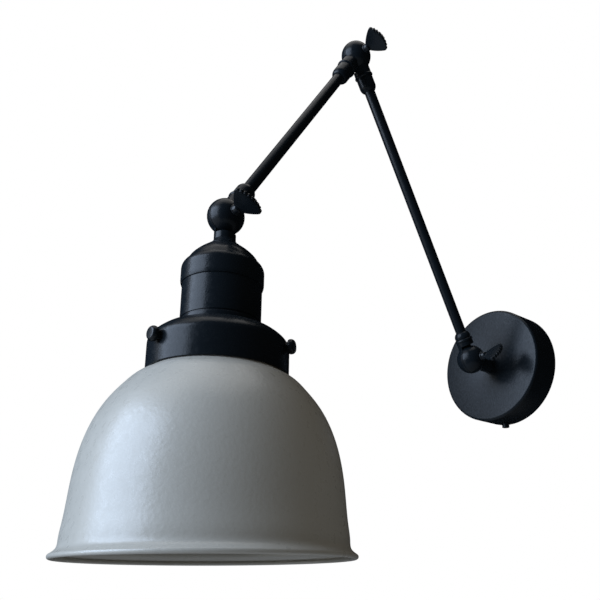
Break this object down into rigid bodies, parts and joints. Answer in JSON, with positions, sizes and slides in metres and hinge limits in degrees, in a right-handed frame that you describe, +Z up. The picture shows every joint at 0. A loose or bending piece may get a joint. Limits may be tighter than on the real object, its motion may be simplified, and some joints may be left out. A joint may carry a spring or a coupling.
{
  "type": "accordion wall lamp",
  "caption": "Wall lamp on two folding arms joined by split-ball swivels with fan-bladed wing screws, with a round canopy, a domed lamp holder and a flared bell shade that tilts.",
  "frame": {"origin": "middle of the canopy's wall side, on the wall's plane", "axes": "+Y into the wall, -Y out into the room, +Z up; the arms fold in the YZ plane"},
  "size_m": [0.154, 0.3469, 0.3835],
  "materials": {
    "black_metal": "semi-gloss",
    "blackened_screws": "semi-gloss",
    "shade_paint": "satin",
    "zinc_steel": "zinc plated",
    "brass_parts": "bright",
    "porcelain": "glazed",
    "terminal_moulding": "matt"
  },
  "bodies": {
    "wall_base": {"canopy": "black_metal", "wall_bracket": "zinc_steel", "canopy_screw": "blackened_screws", "terminal_block": "terminal_moulding", "terminal_screws": "brass_parts", "earth_screw": "zinc_steel"},
    "wall_link": {"wall_knuckle": "black_metal", "wall_nipple": "zinc_steel", "wall_nipple_washer": "zinc_steel", "wall_nipple_nut": "zinc_steel"},
    "arm1": {"arm1_lower_knuckle": "black_metal", "arm1_lower_collar": "black_metal", "arm1_tube": "black_metal", "arm1_upper_collar": "black_metal", "arm1_upper_knuckle": "black_metal"},
    "arm2": {"arm2_upper_knuckle": "black_metal", "arm2_upper_collar": "black_metal", "arm2_tube": "black_metal", "arm2_lower_collar": "black_metal", "arm2_lower_knuckle": "black_metal"},
    "head": {"head_knuckle": "black_metal", "stem_nut": "zinc_steel", "socket_cap": "black_metal", "socket_shell": "black_metal", "socket_insert": "porcelain", "screw_shell": "brass_parts", "centre_contact": "brass_parts", "socket_terminals": "brass_parts", "holder_ring": "black_metal", "shade_holder": "black_metal", "shade": "shade_paint"},
    "wing_wall": {"wing_screw_wall": "blackened_screws"},
    "wing_elbow": {"wing_screw_elbow": "blackened_screws"},
    "wing_head": {"wing_screw_head": "blackened_screws"},
    "thumb_1": {"thumb_screw_1": "blackened_screws"},
    "thumb_2": {"thumb_screw_2": "blackened_screws"},
    "thumb_3": {"thumb_screw_3": "blackened_screws"}
  },
  "joints": [
    {"name": "wall_pan", "type": "hinge", "parent": "wall_base", "child": "wall_link", "pos_m": [0, 0, 0], "axis": [0, 1, 0], "range_deg": [-90, 90]},
    {"name": "wall_tilt", "type": "hinge", "parent": "wall_link", "child": "arm1", "pos_m": [0, -0.047, 0], "axis": [1, 0, 0], "range_deg": [-28, 55]},
    {"name": "elbow", "type": "hinge", "parent": "arm1", "child": "arm2", "pos_m": [0, -0.16514, 0.21578], "axis": [-1, 0, 0], "range_deg": [-1, 160]},
    {"name": "head_tilt", "type": "hinge", "parent": "arm2", "child": "head", "pos_m": [0, -0.2699, 0.04073], "axis": [-1, 0, 0], "range_deg": [-45, 120]},
    {"name": "wing_wall_turn", "type": "hinge", "parent": "arm1", "child": "wing_wall", "pos_m": [0, -0.047, 0], "axis": [1, 0, 0], "range_deg": [0, 360]},
    {"name": "wing_elbow_turn", "type": "hinge", "parent": "arm2", "child": "wing_elbow", "pos_m": [0, -0.16514, 0.21578], "axis": [1, 0, 0], "range_deg": [0, 360]},
    {"name": "wing_head_turn", "type": "hinge", "parent": "head", "child": "wing_head", "pos_m": [0, -0.2699, 0.04073], "axis": [1, 0, 0], "range_deg": [0, 360]},
    {"name": "thumb_1_turn", "type": "hinge", "parent": "head", "child": "thumb_1", "pos_m": [0.00408, -0.30868, -0.04377], "axis": [0.1045, -0.9945, 0], "range_deg": [0, 360]},
    {"name": "thumb_2_turn", "type": "hinge", "parent": "head", "child": "thumb_2", "pos_m": [0.03155, -0.24697, -0.04377], "axis": [0.809, 0.5878, 0], "range_deg": [0, 360]},
    {"name": "thumb_3_turn", "type": "hinge", "parent": "head", "child": "thumb_3", "pos_m": [-0.03563, -0.25403, -0.04377], "axis": [-0.9135, 0.4067, 0], "range_deg": [0, 360]}
  ]
}
